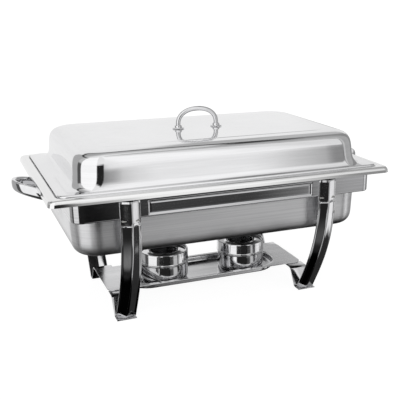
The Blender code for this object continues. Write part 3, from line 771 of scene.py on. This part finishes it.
def studio_world():
    world = bpy.data.worlds.new("studio")
    bpy.context.scene.world = world
    world.use_nodes = True
    t = Tree(world.node_tree)
    way = t.add('ShaderNodeTexCoord').outputs['Generated']
    xyz = t.add('ShaderNodeSeparateXYZ', {0: way}).outputs
    back = t.sum('MULTIPLY', xyz[1], -1.0)
    heading = t.sum('MULTIPLY', t.sum('ARCTAN2', xyz[0], back), TO_DEGREES)
    height = t.sum('MULTIPLY', t.sum('ARCSINE', xyz[2]), TO_DEGREES)
    total = 0.0
    for index, (a, b, base, rises) in enumerate(SECTORS):
        level = base
        for low, high, amount in rises:
            level = t.sum('ADD', t.ramp(height, low, high, 0.0, amount), level)
        mask = 1.0
        if index:
            mask = t.ramp(heading, a - SECTOR_BLEND, a + SECTOR_BLEND)
        if index < len(SECTORS) - 1:
            leave = t.ramp(heading, b - SECTOR_BLEND, b + SECTOR_BLEND, 1.0, 0.0)
            mask = t.sum('MULTIPLY', leave, mask)
        total = t.sum('ADD', t.sum('MULTIPLY', level, mask), total)
    pole = t.add('ShaderNodeVectorMath', {0: way, 1: Vector(CAP_WAY).normalized()},
                 operation='DOT_PRODUCT').outputs['Value']
    away = t.sum('MULTIPLY', t.sum('ARCCOSINE', pole), TO_DEGREES)
    cap = t.ramp(xyz[1], -0.05, 0.5, 0.96, 0.42)
    edge = t.ramp(away, 24, 27)
    total = t.sum('MULTIPLY', total, edge)
    total = t.sum('ADD', t.sum('MULTIPLY', cap, t.sum('SUBTRACT', 1.0, edge)), total)
    line = t.sum('MULTIPLY', t.ramp(away, 23.5, 26), t.ramp(away, 29.5, 32, 1.0, 0.0))
    line = t.sum('MULTIPLY', t.ramp(xyz[1], 0.0, 0.25, 0.0, 0.88), line)
    total = t.sum('MULTIPLY', t.sum('SUBTRACT', 1.0, line), total)
    total = t.sum('MULTIPLY', total, t.ramp(height, -64, -60, 0.02, 1.0))
    glow = t.add('ShaderNodeBackground', {0: total, 1: 1.0})
    t.add('ShaderNodeOutputWorld', {0: glow.outputs[0]})


def stage_piece(name, loops, glow, shade):
    bm = bmesh.new()
    rows = [[bm.verts.new(p) for p in loop] for loop in loops]
    for a, b in zip(rows, rows[1:]):
        for i in range(len(a)):
            j = (i + 1) % len(a)
            bm.faces.new((a[i], a[j], b[j], b[i]))
    if name == "floor":
        bm.faces.new(rows[0])
    bmesh.ops.recalc_face_normals(bm, faces=bm.faces)
    mesh = bpy.data.meshes.new(name)
    bm.to_mesh(mesh)
    bm.free()
    obj = bpy.data.objects.new(name, mesh)
    bpy.context.scene.collection.objects.link(obj)
    mat = bpy.data.materials.new(name)
    mat.use_nodes = True
    t = Tree(mat.node_tree)
    where = t.add('ShaderNodeTexCoord').outputs['Object']
    tone = t.ramp(t.noise(where, 3.0), 0.3, 0.7, shade * 0.985, shade)
    colour = t.add('ShaderNodeCombineXYZ', {0: tone, 1: tone, 2: tone}).outputs[0]
    shader = t.add('ShaderNodeBsdfPrincipled', {'Base Color': colour, 'Roughness': 0.9,
                                                'Specular IOR Level': 0.0,
                                                'Emission Color': (1, 1, 1, 1),
                                                'Emission Strength': glow})
    t.add('ShaderNodeOutputMaterial', {0: shader.outputs[0]})
    mesh.materials.append(mat)
    obj.visible_glossy = False
    return obj


def round_loop(r, z, steps=64):
    return [Vector((r * math.cos(2 * math.pi * k / steps), r * math.sin(2 * math.pi * k / steps), z))
            for k in range(steps)]


def studio():
    studio_world()
    stage_piece("floor", [round_loop(r, -0.0002) for r in (1.0, 4.0, 14.0)], 0.93, 0.20)
    bowl = [round_loop(14.0, 0.0), round_loop(15.0, 0.4), round_loop(15.6, 2.5), round_loop(15.6, 12.0)]
    wall = stage_piece("backdrop", bowl, 1.2, 0.0)
    wall.visible_diffuse = False
    wall.visible_shadow = False
    wall.visible_transmission = False
    scene = bpy.context.scene
    scene.view_settings.view_transform = 'Standard'
    scene.view_settings.look = 'None'
    data = bpy.data.cameras.new("camera")
    data.lens = 62.92
    data.sensor_width = 36.0
    data.shift_x = -0.099
    data.shift_y = 0.0905
    data.clip_end = 60.0
    camera = bpy.data.objects.new("camera", data)
    scene.collection.objects.link(camera)
    camera.location = (-0.4177, -1.1740, 0.5142)
    camera.rotation_euler = (math.radians(90.0 - 18.75), 0.0, math.radians(-23.06))
    scene.camera = camera


water_pan()
food_pan()
lid()
lid_handle()
collars()
nuts()
frame_band()
brackets()
legs()
straps()
pins()
end_handles()
screws()
shelf()
burners()
studio()
